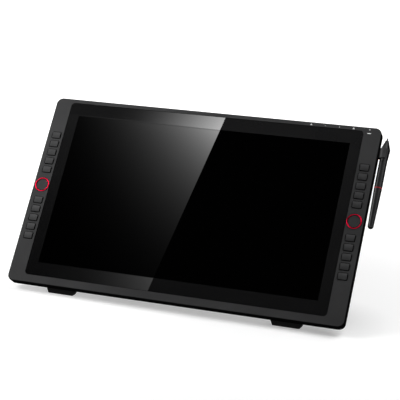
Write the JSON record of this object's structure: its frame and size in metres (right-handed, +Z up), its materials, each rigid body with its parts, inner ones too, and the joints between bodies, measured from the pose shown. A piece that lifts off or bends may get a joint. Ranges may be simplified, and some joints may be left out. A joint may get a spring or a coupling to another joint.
{
  "type": "graphics tablet with screen",
  "caption": "Pen display for drawing on its glass screen, with shortcut keys and a red dial down each side, a folding rear stand, desk feet, and a pen standing in a side holder.",
  "frame": {"origin": "on the desk, in the tablet's left-right middle, midway along the feet's contact faces", "axes": "+X to the right of the person drawing, -Y towards that person, +Z up"},
  "size_m": [0.5885, 0.2984, 0.2713],
  "materials": {
    "frame_plastic": "satin dark grey",
    "key_plastic": "satin dark grey",
    "rear_plastic": "fine-textured near black",
    "screen_glass": "glossy, black printed border",
    "panel_glass": "dark, unlit",
    "guide_plastic": "clear white",
    "tape_foam": "black foam tape",
    "tray_metal": "bare sheet",
    "board_laminate": "green laminate",
    "chassis_metal": "bare sheet",
    "insert_brass": "turned",
    "screw_steel": "blackened",
    "switch_plastic": "black",
    "light_plastic": "white diffuser",
    "socket_steel": "plated",
    "foot_rubber": "matte black",
    "bracket_metal": "black powder coat",
    "leg_metal": "black anodised",
    "lever_plastic": "black",
    "dial_metal": "red anodised, satin",
    "pen_plastic": "near black, half gloss",
    "nib_plastic": "black",
    "pen_red": "red",
    "rocker_plastic": "black"
  },
  "bodies": {
    "display": {"front_frame": "frame_plastic", "cover_glass": "screen_glass", "glass_tape": "tape_foam", "lcd_panel": "panel_glass", "light_guide": "guide_plastic", "backlight_tray": "tray_metal", "digitizer_board": "board_laminate", "chassis_plate": "chassis_metal", "main_board": "board_laminate", "rear_cover": "rear_plastic", "mount_inserts": "insert_brass", "case_screws": "screw_steel", "key_boards": "board_laminate", "tact_switches": "switch_plastic", "dial_hubs": "frame_plastic", "dial_encoders": "switch_plastic", "edge_boards": "board_laminate", "power_light": "light_plastic", "usb_sockets": "socket_steel", "desk_feet": "foot_rubber", "pen_holder": "frame_plastic", "stand_bracket": "bracket_metal", "stand_screws": "screw_steel", "stand_pins": "screw_steel"},
    "left_key_1": {"left_key_1": "key_plastic"},
    "left_key_2": {"left_key_2": "key_plastic"},
    "left_key_3": {"left_key_3": "key_plastic"},
    "left_key_4": {"left_key_4": "key_plastic"},
    "left_key_5": {"left_key_5": "key_plastic"},
    "left_key_6": {"left_key_6": "key_plastic"},
    "left_key_7": {"left_key_7": "key_plastic"},
    "left_key_8": {"left_key_8": "key_plastic"},
    "left_key_9": {"left_key_9": "key_plastic"},
    "left_key_10": {"left_key_10": "key_plastic"},
    "right_key_1": {"right_key_1": "key_plastic"},
    "right_key_2": {"right_key_2": "key_plastic"},
    "right_key_3": {"right_key_3": "key_plastic"},
    "right_key_4": {"right_key_4": "key_plastic"},
    "right_key_5": {"right_key_5": "key_plastic"},
    "right_key_6": {"right_key_6": "key_plastic"},
    "right_key_7": {"right_key_7": "key_plastic"},
    "right_key_8": {"right_key_8": "key_plastic"},
    "right_key_9": {"right_key_9": "key_plastic"},
    "right_key_10": {"right_key_10": "key_plastic"},
    "left_dial": {"left_dial": "dial_metal"},
    "right_dial": {"right_dial": "dial_metal"},
    "menu_button_1": {"menu_button_1": "key_plastic"},
    "menu_button_2": {"menu_button_2": "key_plastic"},
    "menu_button_3": {"menu_button_3": "key_plastic"},
    "menu_button_4": {"menu_button_4": "key_plastic"},
    "power_button": {"power_button": "key_plastic"},
    "leg": {"stand_leg": "leg_metal", "leg_pad": "foot_rubber"},
    "release_lever": {"release_lever": "lever_plastic"},
    "pen": {"pen_tip": "pen_plastic", "pen_grip": "pen_plastic", "pen_barrel": "pen_plastic", "pen_nib": "nib_plastic", "pen_ring": "pen_red"},
    "pen_rocker": {"pen_rocker": "rocker_plastic"}
  },
  "joints": [
    {"name": "left_key_1_press", "type": "slide", "parent": "display", "child": "left_key_1", "axis": [0, 0.7621, -0.6475], "range_m": [0, 0.0008], "stiffness_N_per_m": 1000},
    {"name": "left_key_2_press", "type": "slide", "parent": "display", "child": "left_key_2", "axis": [0, 0.7621, -0.6475], "range_m": [0, 0.0008], "stiffness_N_per_m": 1000},
    {"name": "left_key_3_press", "type": "slide", "parent": "display", "child": "left_key_3", "axis": [0, 0.7621, -0.6475], "range_m": [0, 0.0008], "stiffness_N_per_m": 1000},
    {"name": "left_key_4_press", "type": "slide", "parent": "display", "child": "left_key_4", "axis": [0, 0.7621, -0.6475], "range_m": [0, 0.0008], "stiffness_N_per_m": 1000},
    {"name": "left_key_5_press", "type": "slide", "parent": "display", "child": "left_key_5", "axis": [0, 0.7621, -0.6475], "range_m": [0, 0.0008], "stiffness_N_per_m": 1000},
    {"name": "left_key_6_press", "type": "slide", "parent": "display", "child": "left_key_6", "axis": [0, 0.7621, -0.6475], "range_m": [0, 0.0008], "stiffness_N_per_m": 1000},
    {"name": "left_key_7_press", "type": "slide", "parent": "display", "child": "left_key_7", "axis": [0, 0.7621, -0.6475], "range_m": [0, 0.0008], "stiffness_N_per_m": 1000},
    {"name": "left_key_8_press", "type": "slide", "parent": "display", "child": "left_key_8", "axis": [0, 0.7621, -0.6475], "range_m": [0, 0.0008], "stiffness_N_per_m": 1000},
    {"name": "left_key_9_press", "type": "slide", "parent": "display", "child": "left_key_9", "axis": [0, 0.7621, -0.6475], "range_m": [0, 0.0008], "stiffness_N_per_m": 1000},
    {"name": "left_key_10_press", "type": "slide", "parent": "display", "child": "left_key_10", "axis": [0, 0.7621, -0.6475], "range_m": [0, 0.0008], "stiffness_N_per_m": 1000},
    {"name": "right_key_1_press", "type": "slide", "parent": "display", "child": "right_key_1", "axis": [0, 0.7621, -0.6475], "range_m": [0, 0.0008], "stiffness_N_per_m": 1000},
    {"name": "right_key_2_press", "type": "slide", "parent": "display", "child": "right_key_2", "axis": [0, 0.7621, -0.6475], "range_m": [0, 0.0008], "stiffness_N_per_m": 1000},
    {"name": "right_key_3_press", "type": "slide", "parent": "display", "child": "right_key_3", "axis": [0, 0.7621, -0.6475], "range_m": [0, 0.0008], "stiffness_N_per_m": 1000},
    {"name": "right_key_4_press", "type": "slide", "parent": "display", "child": "right_key_4", "axis": [0, 0.7621, -0.6475], "range_m": [0, 0.0008], "stiffness_N_per_m": 1000},
    {"name": "right_key_5_press", "type": "slide", "parent": "display", "child": "right_key_5", "axis": [0, 0.7621, -0.6475], "range_m": [0, 0.0008], "stiffness_N_per_m": 1000},
    {"name": "right_key_6_press", "type": "slide", "parent": "display", "child": "right_key_6", "axis": [0, 0.7621, -0.6475], "range_m": [0, 0.0008], "stiffness_N_per_m": 1000},
    {"name": "right_key_7_press", "type": "slide", "parent": "display", "child": "right_key_7", "axis": [0, 0.7621, -0.6475], "range_m": [0, 0.0008], "stiffness_N_per_m": 1000},
    {"name": "right_key_8_press", "type": "slide", "parent": "display", "child": "right_key_8", "axis": [0, 0.7621, -0.6475], "range_m": [0, 0.0008], "stiffness_N_per_m": 1000},
    {"name": "right_key_9_press", "type": "slide", "parent": "display", "child": "right_key_9", "axis": [0, 0.7621, -0.6475], "range_m": [0, 0.0008], "stiffness_N_per_m": 1000},
    {"name": "right_key_10_press", "type": "slide", "parent": "display", "child": "right_key_10", "axis": [0, 0.7621, -0.6475], "range_m": [0, 0.0008], "stiffness_N_per_m": 1000},
    {"name": "left_dial_turn", "type": "hinge", "parent": "display", "child": "left_dial", "pos_m": [-0.2696, 0.10195, 0.14827], "axis": [0, -0.7621, 0.6475], "continuous": true},
    {"name": "right_dial_turn", "type": "hinge", "parent": "display", "child": "right_dial", "pos_m": [0.2696, 0.10195, 0.14827], "axis": [0, -0.7621, 0.6475], "continuous": true},
    {"name": "menu_button_1_press", "type": "slide", "parent": "display", "child": "menu_button_1", "axis": [0, -0.6475, -0.7621], "range_m": [0, 0.0005], "stiffness_N_per_m": 1500},
    {"name": "menu_button_2_press", "type": "slide", "parent": "display", "child": "menu_button_2", "axis": [0, -0.6475, -0.7621], "range_m": [0, 0.0005], "stiffness_N_per_m": 1500},
    {"name": "menu_button_3_press", "type": "slide", "parent": "display", "child": "menu_button_3", "axis": [0, -0.6475, -0.7621], "range_m": [0, 0.0005], "stiffness_N_per_m": 1500},
    {"name": "menu_button_4_press", "type": "slide", "parent": "display", "child": "menu_button_4", "axis": [0, -0.6475, -0.7621], "range_m": [0, 0.0005], "stiffness_N_per_m": 1500},
    {"name": "power_button_press", "type": "slide", "parent": "display", "child": "power_button", "axis": [0, -0.6475, -0.7621], "range_m": [0, 0.0005], "stiffness_N_per_m": 1500},
    {"name": "leg_fold", "type": "hinge", "parent": "display", "child": "leg", "pos_m": [0, 0.17443, 0.18261], "axis": [1, 0, 0], "range_deg": [-71.2, 66]},
    {"name": "lever_press", "type": "hinge", "parent": "display", "child": "release_lever", "pos_m": [0, 0.18429, 0.19654], "axis": [1, 0, 0], "range_deg": [0, 12], "stiffness_Nm_per_rad": 0.6, "springref_deg": -2.86},
    {"name": "pen_lift", "type": "slide", "parent": "display", "child": "pen", "axis": [0, 0.6475, 0.7621], "range_m": [0, 0.16]},
    {"name": "rocker_tip", "type": "hinge", "parent": "pen", "child": "pen_rocker", "pos_m": [0.29688, 0.16848, 0.20866], "axis": [0.9397, -0.2607, 0.2214], "range_deg": [-3, 3], "stiffness_Nm_per_rad": 0.2}
  ]
}
